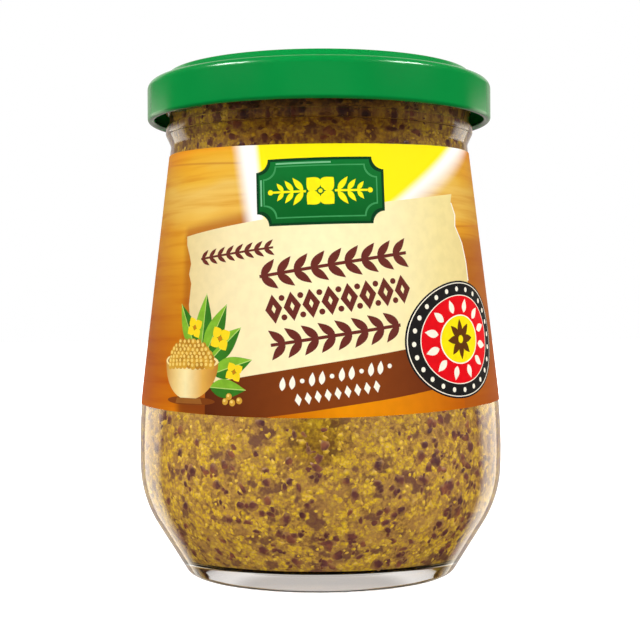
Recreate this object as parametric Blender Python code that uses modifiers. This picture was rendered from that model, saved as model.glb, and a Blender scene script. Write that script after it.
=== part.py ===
"""A shut jar of coarse-grain mustard, standing at the origin with the label's middle facing -Y.

Four pieces: a turned glass jar with thread ridges round its neck, a twist-off steel lid with
lugs, the mustard that fills the jar, and a paper label wrapped round the body. The dimensions
below are in millimetres, and the meshes are in metres, +Z up.
"""

import math

import bmesh
import bpy
from mathutils import Matrix, Vector

MM = 0.001
SIDES = 64
FIT = 0.3

# The jar's outer wall, from the foot up. Angles are in degrees from straight up.
FOOT_RADIUS = 25.33
HEEL_BEND = 2.0
LOWER_SLOPE = 31.9
LOWER_LENGTH = 10.67
BELLY_BEND = 22.4
BELLY_SLOPE = 2.2
SHOULDER_BEND = 104.5
UPPER_SLOPE = -6.8
NECK_HEIGHT = 84.3
NECK_BEND = 2.0
NECK_FLARE = 25.0

# The ring under the lid, the finish that the lid screws on, and its rim.
RING_RADIUS = 30.75
RING_BOTTOM = 86.7
RING_TOP = 88.7
RING_CHAMFER = 0.35
FINISH_RADIUS = 30.1
RIM_HEIGHT = 96.7
RIM_BEND = 0.9

# The inside of the glass.
WALL = 2.4
MOUTH_RADIUS = 27.4
FLOOR_HEIGHT = 4.3
FLOOR_RISE = 0.9
FLOOR_BEND = 4.0
FOOT_WIDTH = 1.9
PUNT_SLOPE_WIDTH = 1.6
PUNT_HEIGHT = 1.2
PUNT_RISE = 0.6
DOME_SHARE = 0.6
DOME_LIFT = 0.6

# The ridges that the lid's lugs turn under.
RIDGE_COUNT = 4
RIDGE_RADIUS = 0.85
RIDGE_PATH_RADIUS = 30.0
RIDGE_SWEEP = 62.0
RIDGE_LOW = 91.6
RIDGE_HIGH = 94.4
RIDGE_STEPS = 8
RIDGE_END_SHARE = 0.55

# The lid.
LID_RADIUS = 34.35
LID_TOP = 99.1
LID_STEEL = 0.45
BUTTON_RADIUS = 10.0
BUTTON_SLOPE_WIDTH = 2.5
BUTTON_DROP = 0.5
PANEL_RADIUS = 30.5
PANEL_BEND = 0.6
PANEL_SLOPE = 150.0
LEDGE_HEIGHT = 97.45
LID_CORNER = 1.6
SKIRT_BOTTOM = 89.5
CURL_BEND = 0.72
GASKET_INNER = 27.4
LUG_SIZE = (3.2, 9.0, 1.1)
LUG_RADIUS = 32.6
LUG_HEIGHT = 90.35
LUG_TURN = 38.0
LUG_BEVEL = 0.35

# The mustard.
MUSTARD_TOP = 92.0
MUSTARD_DOME = 0.8

# The label: its height at the front and how far both edges dip there, its side tilt and its gap.
LABEL_BOTTOM = 32.75
LABEL_TOP = 81.9
LABEL_DIP_BOTTOM = 1.3
LABEL_DIP_TOP = 0.95
LABEL_TILT = 0.42
LABEL_GAP_SIDES = 4
LABEL_ROWS = 8
LABEL_CLEARANCE = 0.18
PAPER = 0.12

FRONT_ANGLE = -90.0
SHARP_ANGLE = 35.0


class Outline:
    """A profile in (radius, height), walked in straight runs and tangent arcs."""

    def __init__(self, radius, height, heading):
        self.points = [(radius, height)]
        self.heading = heading

    def line(self, length):
        angle = math.radians(self.heading)
        radius, height = self.points[-1]
        self.points.append((radius + length * math.sin(angle), height + length * math.cos(angle)))
        return self

    def arc(self, bend, heading, steps):
        """Turn to a new heading on an arc of this bend radius."""
        radius, height = self.points[-1]
        start = math.radians(self.heading)
        turn = math.radians(heading) - start
        side = math.copysign(bend, turn)
        for step in range(1, steps + 1):
            angle = start + turn * step / steps
            self.points.append((
                radius + side * (math.cos(start) - math.cos(angle)),
                height + side * (math.sin(angle) - math.sin(start)),
            ))
        self.heading = heading
        return self

    def rise_to(self, target):
        return self.line((target - self.points[-1][1]) / math.cos(math.radians(self.heading)))

    def to(self, radius, height):
        self.points.append((radius, height))
        return self


def clear_scene():
    for thing in list(bpy.data.objects):
        bpy.data.objects.remove(thing, do_unlink=True)


def collection(name):
    made = bpy.data.collections.new(name)
    bpy.context.scene.collection.children.link(made)
    return made


def material(name, color, roughness, metallic=0.0, transmission=0.0):
    made = bpy.data.materials.new(name)
    made.use_nodes = True
    shader = made.node_tree.nodes["Principled BSDF"]
    shader.inputs["Base Color"].default_value = (*color, 1.0)
    shader.inputs["Roughness"].default_value = roughness
    shader.inputs["Metallic"].default_value = metallic
    shader.inputs["Transmission Weight"].default_value = transmission
    return made


def evaluated_mesh(source):
    bpy.context.view_layer.update()
    graph = bpy.context.evaluated_depsgraph_get()
    return bpy.data.meshes.new_from_object(source.evaluated_get(graph))


def turned(name, points, finish, target):
    """Spin a profile, which runs down its outer side, about the Z axis."""
    profile = bpy.data.meshes.new(name)
    corners = [(radius * MM, 0.0, height * MM) for radius, height in points]
    profile.from_pydata(corners, [(i, i + 1) for i in range(len(corners) - 1)], [])
    spun = bpy.data.objects.new(name, profile)
    target.objects.link(spun)
    screw = spun.modifiers.new("Screw", "SCREW")
    screw.axis = "Z"
    screw.angle = math.tau
    screw.steps = SIDES
    screw.render_steps = SIDES
    screw.use_merge_vertices = True
    screw.merge_threshold = 0.00001
    mesh = evaluated_mesh(spun)
    spun.modifiers.clear()
    spun.data = mesh
    bpy.data.meshes.remove(profile)
    mesh.name = name
    mesh.materials.clear()
    mesh.materials.append(finish)
    mesh.shade_smooth()
    mesh.set_sharp_from_angle(angle=math.radians(SHARP_ANGLE))
    return spun


def as_cutter(helper):
    helper.hide_render = True
    helper.display_type = "WIRE"


def join_with(body, helpers):
    union = body.modifiers.new("Union", "BOOLEAN")
    union.operation = "UNION"
    union.solver = "EXACT"
    union.operand_type = "COLLECTION"
    union.collection = helpers


def lower_cone():
    """The outside of the glass, from the edge of the foot to the top of the lower cone."""
    wall = Outline(FOOT_RADIUS, 0.0, 90.0)
    wall.arc(HEEL_BEND, LOWER_SLOPE, 4)
    return wall.line(LOWER_LENGTH)


def outer_wall():
    """The outside of the glass, from the edge of the foot to the ring under the lid."""
    wall = lower_cone()
    wall.arc(BELLY_BEND, BELLY_SLOPE, 6)
    wall.arc(SHOULDER_BEND, UPPER_SLOPE, 4)
    wall.rise_to(NECK_HEIGHT)
    wall.arc(NECK_BEND, NECK_FLARE, 2)
    wall.rise_to(RING_BOTTOM)
    return wall.points


def finish_wall():
    """The outside of the neck, from the ring up to the middle of the rim."""
    wall = Outline(RING_RADIUS, RING_BOTTOM + RING_CHAMFER, 0.0)
    wall.rise_to(RING_TOP - RING_CHAMFER)
    wall.to(RING_RADIUS - RING_CHAMFER, RING_TOP)
    wall.to(FINISH_RADIUS, RING_TOP + RING_CHAMFER)
    wall.heading = 0.0
    wall.rise_to(RIM_HEIGHT - RIM_BEND)
    wall.arc(RIM_BEND, -90.0, 3)
    return wall.points


def inner_wall(offset=0.0):
    """The inside of the glass, from the floor up, or a line inside it by an offset."""
    slope = math.radians(LOWER_SLOPE)
    inset = WALL + offset
    cone_radius, cone_height = lower_cone().points[-1]
    cone_top_radius = cone_radius - inset * math.cos(slope)
    cone_top_height = cone_height + inset * math.sin(slope)
    bend = FLOOR_BEND - offset
    floor = FLOOR_HEIGHT + offset
    bend_top = floor + bend * (1.0 - math.sin(slope))
    bend_end = cone_top_radius - (cone_top_height - bend_top) * math.tan(slope)
    wall = Outline(bend_end - bend * math.cos(slope), floor, 90.0)
    wall.arc(bend, LOWER_SLOPE, 3)
    wall.to(cone_top_radius, cone_top_height)
    wall.arc(BELLY_BEND - inset, BELLY_SLOPE, 4)
    wall.arc(SHOULDER_BEND - inset, UPPER_SLOPE, 3)
    mouth = MOUTH_RADIUS - offset
    run = (wall.points[-1][0] - mouth) / math.sin(math.radians(-UPPER_SLOPE))
    wall.line(run)
    return wall.points


def floor_dome(offset):
    """The slightly raised middle of the floor, from its edge to the axis."""
    edge = inner_wall(offset)[0][0]
    floor = FLOOR_HEIGHT + offset
    return [(edge * DOME_SHARE, floor + FLOOR_RISE * DOME_LIFT), (0.0, floor + FLOOR_RISE)]


def jar_profile():
    inside = floor_dome(0.0)[::-1] + inner_wall()
    rim = Outline(MOUTH_RADIUS, RIM_HEIGHT - RIM_BEND, 0.0)
    rim.arc(RIM_BEND, 90.0, 3)
    outside = (outer_wall() + finish_wall())[::-1]
    foot_inner = FOOT_RADIUS - FOOT_WIDTH
    punt_edge = foot_inner - PUNT_SLOPE_WIDTH
    punt = [
        (foot_inner, 0.0),
        (punt_edge, PUNT_HEIGHT),
        (punt_edge * DOME_SHARE, PUNT_HEIGHT + PUNT_RISE * DOME_LIFT),
        (0.0, PUNT_HEIGHT + PUNT_RISE),
    ]
    return inside + rim.points + outside + punt


def thread_ridges(target):
    """Short sloping ridges round the neck, each a bevelled curve made a mesh."""
    for index in range(RIDGE_COUNT):
        name = f"ridge_{index + 1}"
        start = 360.0 * index / RIDGE_COUNT
        curve = bpy.data.curves.new(name, "CURVE")
        curve.dimensions = "3D"
        curve.bevel_depth = RIDGE_RADIUS * MM
        curve.bevel_resolution = 1
        curve.use_fill_caps = True
        spline = curve.splines.new("POLY")
        spline.points.add(RIDGE_STEPS)
        for step, point in enumerate(spline.points):
            share = step / RIDGE_STEPS
            angle = math.radians(start + RIDGE_SWEEP * share)
            point.co = (
                RIDGE_PATH_RADIUS * MM * math.cos(angle),
                RIDGE_PATH_RADIUS * MM * math.sin(angle),
                (RIDGE_LOW + (RIDGE_HIGH - RIDGE_LOW) * share) * MM,
                1.0,
            )
            point.radius = RIDGE_END_SHARE if step in (0, RIDGE_STEPS) else 1.0
        ridge = bpy.data.objects.new(name, curve)
        target.objects.link(ridge)
        mesh = evaluated_mesh(ridge)
        weld = bmesh.new()
        weld.from_mesh(mesh)
        bmesh.ops.remove_doubles(weld, verts=weld.verts, dist=0.000001)
        bmesh.ops.recalc_face_normals(weld, faces=weld.faces)
        weld.to_mesh(mesh)
        weld.free()
        solid = bpy.data.objects.new(name, mesh)
        bpy.data.objects.remove(ridge, do_unlink=True)
        target.objects.link(solid)
        as_cutter(solid)


def build_glass(parts, helpers):
    clear = material("clear glass", (0.93, 0.95, 0.93), 0.03, transmission=1.0)
    jar = turned("glass_jar", jar_profile(), clear, parts)
    thread_ridges(helpers)
    join_with(jar, helpers)


def button(depth):
    """The middle of the lid, drawn down by the vacuum, from the axis outwards."""
    return [
        (0.0, LID_TOP - BUTTON_DROP - depth),
        (BUTTON_RADIUS, LID_TOP - BUTTON_DROP - depth),
        (BUTTON_RADIUS + BUTTON_SLOPE_WIDTH, LID_TOP - depth),
    ]


def lid_profile():
    """Down the outside of the lid, round its curled edge and back up inside to the axis."""
    skin = Outline(PANEL_RADIUS - PANEL_BEND, LID_TOP, 90.0)
    skin.arc(PANEL_BEND, PANEL_SLOPE, 3)
    skin.rise_to(LEDGE_HEIGHT)
    skin.heading = 90.0
    skin.to(LID_RADIUS - LID_CORNER, LEDGE_HEIGHT)
    skin.arc(LID_CORNER, 180.0, 4)
    skin.rise_to(SKIRT_BOTTOM + CURL_BEND)
    skin.arc(CURL_BEND, 360.0, 6)
    inner_radius = LID_RADIUS - LID_STEEL
    ledge_under = LEDGE_HEIGHT - LID_STEEL
    inside = [
        (inner_radius, SKIRT_BOTTOM + CURL_BEND * 2),
        (inner_radius, ledge_under - LID_CORNER + LID_STEEL),
        (inner_radius - LID_CORNER + LID_STEEL, ledge_under),
        (GASKET_INNER, ledge_under),
        (GASKET_INNER, LID_TOP - LID_STEEL),
    ]
    return button(0.0) + skin.points + inside + button(LID_STEEL)[::-1]


def lid_lugs(target):
    """Four pressed tabs that stand in from the curled edge."""
    for index in range(RIDGE_COUNT):
        angle = math.radians(360.0 * index / RIDGE_COUNT + LUG_TURN)
        tab = bmesh.new()
        bmesh.ops.create_cube(tab, size=1.0, matrix=Matrix.Diagonal((*LUG_SIZE, 1.0)))
        bmesh.ops.scale(tab, vec=(MM, MM, MM), verts=tab.verts)
        mesh = bpy.data.meshes.new(f"lug_{index + 1}")
        tab.to_mesh(mesh)
        tab.free()
        lug = bpy.data.objects.new(mesh.name, mesh)
        target.objects.link(lug)
        reach = LUG_RADIUS * MM
        lug.location = (reach * math.cos(angle), reach * math.sin(angle), LUG_HEIGHT * MM)
        lug.rotation_euler = (0.0, 0.0, angle)
        rounding = lug.modifiers.new("Bevel", "BEVEL")
        rounding.width = LUG_BEVEL * MM
        rounding.segments = 2
        as_cutter(lug)


def build_lid(parts, helpers):
    paint = material("green lacquered steel", (0.0, 0.22, 0.05), 0.22)
    lid = turned("lid", lid_profile(), paint, parts)
    lid_lugs(helpers)
    join_with(lid, helpers)


def build_mustard(parts):
    paste = material("coarse mustard", (0.36, 0.22, 0.04), 0.5)
    wall = inner_wall(FIT)
    edge = wall[-1][0]
    surface = [
        (0.0, MUSTARD_TOP + MUSTARD_DOME),
        (edge * DOME_SHARE, MUSTARD_TOP + MUSTARD_DOME * DOME_LIFT),
        (edge, MUSTARD_TOP),
    ]
    turned("mustard", surface + wall[::-1] + floor_dome(FIT), paste, parts)


def radius_at(height):
    """The glass's outer radius at a height on the body."""
    wall = outer_wall()
    for (low_radius, low), (high_radius, high) in zip(wall, wall[1:]):
        if low <= height <= high:
            return low_radius + (high_radius - low_radius) * (height - low) / (high - low)
    raise ValueError(f"no wall at height {height}")


def label_edge(front_height, dip, turn):
    """An edge's height at an angle from the front: it dips at the front and tilts to one side."""
    sag = dip * (math.cos(turn) ** 2 if abs(turn) < math.pi / 2 else 0.0)
    tilt = radius_at(front_height) * math.sin(turn) * math.tan(math.radians(LABEL_TILT))
    return front_height + dip - sag + tilt


def build_label(parts):
    """A grid laid round the glass on its own facets, then thickened outwards."""
    paper = material("printed paper", (0.80, 0.52, 0.16), 0.45)
    columns = SIDES - LABEL_GAP_SIDES
    sheet = bmesh.new()
    bmesh.ops.create_grid(sheet, x_segments=columns, y_segments=LABEL_ROWS, size=0.5)
    for vert in sheet.verts:
        turn = vert.co.x * columns / SIDES * math.tau
        low = label_edge(LABEL_BOTTOM, LABEL_DIP_BOTTOM, turn)
        high = label_edge(LABEL_TOP, LABEL_DIP_TOP, turn)
        height = low + (high - low) * (vert.co.y + 0.5)
        reach = radius_at(height) + LABEL_CLEARANCE
        angle = math.radians(FRONT_ANGLE) + turn
        vert.co = Vector((reach * math.cos(angle), reach * math.sin(angle), height)) * MM
    mesh = bpy.data.meshes.new("label")
    sheet.to_mesh(mesh)
    sheet.free()
    mesh.materials.append(paper)
    label = bpy.data.objects.new("label", mesh)
    parts.objects.link(label)
    thicken = label.modifiers.new("Solidify", "SOLIDIFY")
    thicken.thickness = PAPER * MM
    thicken.offset = 1.0
    mesh.shade_smooth()
    mesh.set_sharp_from_angle(angle=math.radians(SHARP_ANGLE))


def main():
    clear_scene()
    parts = collection("mustard_jar")
    build_glass(parts, collection("thread_ridges"))
    build_lid(parts, collection("lid_lugs"))
    build_mustard(parts)
    build_label(parts)


main()
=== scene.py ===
"""The looks of a shut jar of coarse-grain mustard: clear glass, green lid, grainy paste, printed label.

Dimensions are in millimetres and the meshes in metres, +Z up, the label's middle facing -Y.
"""

import math
import random

import bmesh
import bpy
import numpy as np
from mathutils import Matrix, Vector, kdtree, noise
from mathutils.geometry import delaunay_2d_cdt


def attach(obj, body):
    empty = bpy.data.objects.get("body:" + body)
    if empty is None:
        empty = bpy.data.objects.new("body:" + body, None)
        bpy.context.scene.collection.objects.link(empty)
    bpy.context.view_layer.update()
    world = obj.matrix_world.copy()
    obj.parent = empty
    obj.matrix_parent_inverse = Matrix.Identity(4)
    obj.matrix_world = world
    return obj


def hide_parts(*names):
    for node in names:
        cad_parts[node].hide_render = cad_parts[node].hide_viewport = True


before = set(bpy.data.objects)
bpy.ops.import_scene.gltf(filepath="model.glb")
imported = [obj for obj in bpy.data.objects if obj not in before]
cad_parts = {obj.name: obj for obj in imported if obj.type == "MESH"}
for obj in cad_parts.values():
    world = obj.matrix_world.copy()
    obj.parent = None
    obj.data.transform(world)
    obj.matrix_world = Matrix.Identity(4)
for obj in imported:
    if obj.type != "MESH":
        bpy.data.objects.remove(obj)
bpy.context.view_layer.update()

MM = 0.001
SIDES = 256
BODY = "root"

# The jar's outer wall, from the foot up. Angles are in degrees from straight up.
FOOT_RADIUS = 25.33
HEEL_BEND = 2.0
LOWER_SLOPE = 31.9
LOWER_LENGTH = 10.67
BELLY_BEND = 22.4
BELLY_SLOPE = 2.2
SHOULDER_BEND = 104.5
UPPER_SLOPE = -6.8
NECK_HEIGHT = 84.3
NECK_BEND = 2.0
NECK_FLARE = 25.0

# The ring under the lid, the finish that the lid screws on, and its rim.
RING_RADIUS = 30.75
RING_BOTTOM = 86.7
RING_TOP = 88.7
RING_EDGE = 0.5
FINISH_RADIUS = 30.1
RIM_HEIGHT = 96.7
RIM_BEND = 0.9

# The inside of the glass.
WALL = 2.4
MOUTH_RADIUS = 27.4
FLOOR_HEIGHT = 4.3
FLOOR_RISE = 0.9
FLOOR_BEND = 4.0
FOOT_WIDTH = 1.9
FOOT_EDGE = 0.5
PUNT_SLOPE = -38.0
PUNT_SLOPE_WIDTH = 1.6
PUNT_HEIGHT = 1.2
PUNT_RISE = 0.6

# The ridges that the lid's lugs turn under.
RIDGE_COUNT = 4
RIDGE_RADIUS = 0.85
RIDGE_PATH_RADIUS = 30.0
RIDGE_SWEEP = 62.0
RIDGE_LOW = 91.6
RIDGE_HIGH = 94.4
RIDGE_STEPS = 24
RIDGE_END_SHARE = 0.3

# The lid.
LID_RADIUS = 34.35
LID_TOP = 99.1
LID_STEEL = 0.45
BUTTON_RADIUS = 10.0
BUTTON_SLOPE_WIDTH = 2.5
BUTTON_DROP = 0.5
BUTTON_STEPS = 10
PANEL_RADIUS = 30.5
PANEL_BEND = 0.6
PANEL_SLOPE = 150.0
LEDGE_HEIGHT = 97.45
LEDGE_BEND = 0.35
LID_CORNER = 1.6
SKIRT_BOTTOM = 89.5
CURL_BEND = 0.72
GASKET_INNER = 27.4
LUG_SIZE = (3.2, 9.0, 1.1)
LUG_RADIUS = 32.35
LUG_HEIGHT = 90.35
LUG_TURN = 38.0
LUG_BEVEL = 0.35

# The mustard, which reaches just into the glass.
MUSTARD_TOP = 92.0
MUSTARD_DOME = 0.8
MUSTARD_REACH = 0.05
FLOOR_GAP = 0.15
FLOOR_GAP_STEPS = 8

# The label: its height at the front and how far both edges dip there, its side tilt and its ends.
LABEL_BOTTOM = 32.75
LABEL_TOP = 81.9
LABEL_DIP_BOTTOM = 1.3
LABEL_DIP_TOP = 0.95
LABEL_TILT = 0.42
LABEL_END = 168.75
LABEL_CLEARANCE = 0.03
PAPER = 0.1

# The grains in the paste: how many, their least, most and commonest length, and their flatness.
HUSK_COUNT = 2450
HUSK_SIZE = (0.8, 3.6, 2.0)
SEED_COUNT = 3400
SEED_SIZE = (0.8, 2.1, 1.3)
GRAIN_FLATNESS = 0.28
GRAIN_SHOWN = 0.4
# Where a painted patch of yellow light lies on the paste's front, just below the label, in metres.
PAINTED_LIGHT_SPOT = (0.0005, -0.034, 0.0305)

# The label's printed fields, on the unrolled sheet: millimetres along the glass, and height.
SHEET_UNIT = 100.0
OUTLINE_STEP = 0.8
GRID_STEP = 1.3
GRID_CLEARANCE = 0.35
ROW_TILT = 9.0
PANEL_LEFT = [(-28.2, 65.8), (-28.1, 64.2), (-27.2, 62.2), (-26.7, 60.6), (-27.2, 58.7), (-26.5, 56.9),
              (-27.0, 53.0), (-26.2, 48.0), (-26.6, 42.0), (-26.4, 37.5)]
PANEL_RIGHT = [(28.7, 73.7), (28.2, 72.0), (29.4, 69.7), (29.2, 67.6), (31.5, 64.5), (32.7, 61.0),
               (33.2, 57.4), (34.3, 52.0), (33.6, 45.5)]
BAND_TOP = [(-22.3, 38.55), (-12.9, 40.15), (-3.6, 41.65), (5.3, 43.05), (16.4, 44.8), (30.0, 46.9)]
BAND_LOW = [(30.0, 38.7), (22.4, 37.45), (13.6, 36.1), (5.2, 34.95), (-1.9, 33.9), (-9.4, 32.9)]
SEAL_REACH = (13.9, 10.9)
SEAL_RINGS = [(1.0, "seal_black"), (0.97, "seal_cream"), (0.955, "seal_black"), (0.76, "seal_cream"),
              (0.745, "seal_red"), (0.42, "seal_cream"), (0.4, "seal_gold")]
SEAL_DOTS = 24
SEAL_LEAVES = 12

FRONT_ANGLE = -90.0
SHARP_ANGLE = 35.0

# The camera, level, in front of the label.
CAMERA_DISTANCE = 282.66
CAMERA_HEIGHT = 50.07
CAMERA_LENS = 78.75
CAMERA_ROLL = 0.28

# The studio, in metres: how bright what gloss and glass show is, and what the dull surfaces get.
WORLD_LIGHT = 2.8
AMBIENT_LIGHT = 0.22
AIM_HEIGHT = 0.05
FLOOR_SIZE = 3.0
FLOOR_DROP = 0.00005
FLOOR_COLOR = (0.9, 0.9, 0.9, 1.0)
MERGE_DISTANCE = 0.000001

# Colours are screen values from 0 to 255, and a ramp is a list of places from 0 to 1 with colours.
NECK_SHADE_HEIGHTS = (0.078, 0.0905)
NECK_SHADES = [(0.0, (255, 255, 255)), (0.4, (212, 190, 112)), (1.0, (126, 100, 48))]
PASTE_TONES = [
    (0.10, (112, 78, 34)), (0.32, (146, 108, 46)), (0.50, (166, 128, 50)),
    (0.66, (184, 148, 26)), (0.80, (206, 172, 20)), (0.94, (196, 160, 84)),
]
WOOD_TONES = [
    (0.00, (236, 136, 6)), (0.10, (220, 118, 8)), (0.30, (218, 128, 14)), (0.50, (230, 154, 34)),
    (0.66, (242, 174, 48)), (0.74, (248, 198, 96)), (0.82, (248, 202, 106)), (0.88, (246, 188, 66)),
    (0.93, (246, 178, 44)), (1.00, (250, 166, 36)),
]

# The white glow and the yellow field at the top: colour, then each side's line and how it fades.
TOP_FIELDS = [
    ((255, 252, 246), [
        ((-13.4, 69.0), (-15.6, 81.5), -1.6, 1.4), ((35.1, 82.65), (20.8, 73.2), -2.6, 2.2),
    ]),
    ((255, 236, 10), [
        ((-10.4, 70.9), (-11.64, 81.6), -0.7, 0.7), ((28.0, 82.1), (15.3, 72.4), -1.0, 1.0),
    ]),
]

# What the world shows at places round the jar, as linear light.
WHITE = (1.0, 1.0, 1.0)
DIM_LIGHT = (0.03, 0.03, 0.028)
RING_LIGHT = (0.82, 0.77, 0.67)
BACKDROP_LIGHT = (0.23, 0.21, 0.195)
CARD_LIGHT = (0.34, 0.34, 0.31)
BASE_SIDE_LIGHT = (0.33, 0.315, 0.305)
BASE_MIDDLE_LIGHT = (0.205, 0.192, 0.182)
UNDER_LIGHT = (0.004, 0.004, 0.004)

# Inks that change across the sheet: material, from where to where, along (0) or up (1), and ramp.
SHADED_INKS = {
    # The cream panel darkens to tan at both ends: partly the panel's own tan edges, partly painted shade
    # where the label turns away from the light.
    "cream": ("cream_panel", -29.0, 34.0, 0, [
        (0.00, (228, 204, 142)), (0.20, (251, 232, 180)), (0.45, (255, 241, 190)),
        (0.68, (252, 236, 180)), (0.85, (241, 221, 152)), (1.00, (229, 206, 138)),
    ]),
    # The brown band darkens towards both ends: painted shade where the label turns away from the light.
    "brown_band": ("brown_band", -22.0, 26.0, 0, [
        (0.0, (92, 38, 10)), (0.35, (128, 60, 18)), (0.65, (132, 62, 18)), (1.0, (100, 40, 10)),
    ]),
    # The orange strip darkens towards both ends; at its right end, where the label turns away from the
    # light, this is painted shade.
    "orange_strip": ("orange_strip", -9.4, 30.0, 0, [
        (0.0, (190, 96, 6)), (0.35, (236, 144, 2)), (0.6, (228, 134, 2)), (1.0, (190, 92, 6)),
    ]),
    "plaque": ("plaque_green", 67.0, 80.0, 1, [
        (0.0, (4, 92, 32)), (0.5, (8, 106, 38)), (1.0, (14, 118, 48)),
    ]),
    "bowl": ("bowl_glaze", -34.0, -19.2, 0, [
        (0.0, (196, 138, 52)), (0.25, (240, 206, 132)), (0.45, (250, 230, 170)),
        (0.75, (228, 172, 76)), (1.0, (186, 118, 38)),
    ]),
}
PLAIN_INKS = {
    "torn_paper": (255, 250, 238),
    "brown_ink": (106, 44, 36),
    "cream_ink": (252, 244, 224),
    "yellow_ink": (253, 236, 20),
    "plaque_rim": (2, 58, 26),
    "plaque_line": (60, 150, 84),
    "plaque_light": (120, 190, 138),
    "seal_black": (28, 26, 25),
    "seal_red": (230, 6, 20),
    "seal_gold": (254, 228, 8),
    "seal_cream": (248, 240, 220),
    "seal_brown": (96, 52, 10),
    "leaf_vein": (186, 214, 110),
    "petal": (250, 214, 30),
    "petal_heart": (196, 128, 20),
    "bowl_rim": (246, 220, 150),
    "bowl_foot": (150, 90, 34),
    "bowl_shadow": (126, 62, 16),
    "seed_dark": (186, 128, 36),
    "seed_mid": (212, 158, 52),
    "seed_light": (240, 206, 108),
}
LEAF_INKS = {"leaf_dark": (52, 118, 30), "leaf_light": (128, 180, 46)}
PAPER_BACK = (236, 230, 214)
INK_SPREAD = 0.04
LEAF_SPREAD = 0.12


def linear(red, green, blue):
    """A colour named in screen values from 0 to 255, as linear light."""
    shares = [value / 255.0 for value in (red, green, blue)]
    return tuple(s / 12.92 if s <= 0.04045 else ((s + 0.055) / 1.055) ** 2.4 for s in shares)


class Outline:
    """A profile in (radius, height), walked in straight runs and tangent arcs."""

    def __init__(self, radius, height, heading):
        self.points = [(radius, height)]
        self.heading = heading

    def line(self, length):
        angle = math.radians(self.heading)
        radius, height = self.points[-1]
        self.points.append((radius + length * math.sin(angle), height + length * math.cos(angle)))
        return self

    def arc(self, bend, heading, steps):
        """Turn to a new heading on an arc of this bend radius."""
        radius, height = self.points[-1]
        start = math.radians(self.heading)
        turn = math.radians(heading) - start
        side = math.copysign(bend, turn)
        for step in range(1, steps + 1):
            angle = start + turn * step / steps
            self.points.append((
                radius + side * (math.cos(start) - math.cos(angle)),
                height + side * (math.sin(angle) - math.sin(start)),
            ))
        self.heading = heading
        return self

    def rise_to(self, target):
        return self.line((target - self.points[-1][1]) / math.cos(math.radians(self.heading)))

    def to(self, radius, height):
        self.points.append((radius, height))
        return self


class Nodes:
    """A node tree and short ways to add to it."""

    def __init__(self, tree):
        self.tree = tree

    def node(self, kind, inputs=(), **settings):
        made = self.tree.nodes.new(kind)
        for setting, value in settings.items():
            setattr(made, setting, value)
        for socket, value in dict(inputs).items():
            self.feed(made.inputs[socket], value)
        return made

    def feed(self, socket, value):
        if isinstance(value, bpy.types.NodeSocket):
            self.tree.links.new(value, socket)
        elif socket.type == "RGBA" and len(value) == 3:
            socket.default_value = (*value, 1.0)
        else:
            socket.default_value = value

    def place(self):
        return self.node("ShaderNodeTexCoord").outputs["Object"]

    def parts(self, vector=None):
        """A vector's X, Y and Z."""
        return tuple(self.node("ShaderNodeSeparateXYZ", {"Vector": vector or self.place()}).outputs)

    def vector(self, operation, inputs, output="Vector"):
        return self.node("ShaderNodeVectorMath", inputs, operation=operation).outputs[output]

    def noise(self, scale, detail=2.0, roughness=0.5, distortion=0.0, vector=None):
        made = self.node("ShaderNodeTexNoise", {
            "Vector": vector or self.place(),
            "Scale": scale,
            "Detail": detail,
            "Roughness": roughness,
            "Distortion": distortion,
        })
        return made.outputs["Fac"]

    def ramp(self, factor, stops):
        """A colour that follows a factor through (place, screen colour) stops."""
        made = self.node("ShaderNodeValToRGB", {"Fac": factor})
        band = made.color_ramp
        while len(band.elements) < len(stops):
            band.elements.new(1.0)
        for element, (place, color) in zip(band.elements, stops):
            element.position = place
            element.color = (*linear(*color), 1.0)
        return made.outputs["Color"]

    def span(self, value, low, high, start=0.0, end=1.0, ease="SMOOTHSTEP"):
        """A value that goes from start to end as the given one goes from low to high."""
        made = self.node("ShaderNodeMapRange", {
            "Value": value,
            "From Min": low,
            "From Max": high,
            "To Min": start,
            "To Max": end,
        }, interpolation_type=ease)
        return made.outputs["Result"]

    def mix(self, factor, first, second, blend="MIX"):
        made = self.node("ShaderNodeMix", data_type="RGBA", blend_type=blend)
        self.feed(made.inputs[0], factor)
        self.feed(made.inputs[6], first)
        self.feed(made.inputs[7], second)
        return made.outputs[2]

    def math(self, operation, first, second=0.0):
        made = self.node("ShaderNodeMath", operation=operation)
        self.feed(made.inputs[0], first)
        self.feed(made.inputs[1], second)
        return made.outputs[0]

    def plus(self, first, second):
        return self.math("ADD", first, second)

    def times(self, first, second):
        return self.math("MULTIPLY", first, second)

    def choose(self, factor, first, second):
        """The first shader at factor 0, and the second at 1."""
        return self.node("ShaderNodeMixShader", {0: factor, 1: first, 2: second}).outputs[0]


class Shader(Nodes):
    """A material."""

    def __init__(self, name, **values):
        self.material = bpy.data.materials.new(name)
        self.material.use_nodes = True
        super().__init__(self.material.node_tree)
        self.surface = self.tree.nodes["Principled BSDF"]
        for socket, value in values.items():
            self.surface.inputs[socket.replace("_", " ")].default_value = value

    def set(self, **links):
        for socket, value in links.items():
            self.feed(self.surface.inputs[socket.replace("_", " ")], value)

    def bump(self, height, strength, distance):
        made = self.node("ShaderNodeBump", {"Height": height, "Strength": strength, "Distance": distance})
        self.feed(self.surface.inputs["Normal"], made.outputs["Normal"])


def link(thing):
    bpy.context.scene.collection.objects.link(thing)
    return thing


def evaluated_mesh(source):
    bpy.context.view_layer.update()
    graph = bpy.context.evaluated_depsgraph_get()
    return bpy.data.meshes.new_from_object(source.evaluated_get(graph))


def apply_modifiers(piece):
    """Put a piece's modifiers into its mesh."""
    mesh = evaluated_mesh(piece)
    piece.modifiers.clear()
    piece.data = mesh
    return mesh


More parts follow.
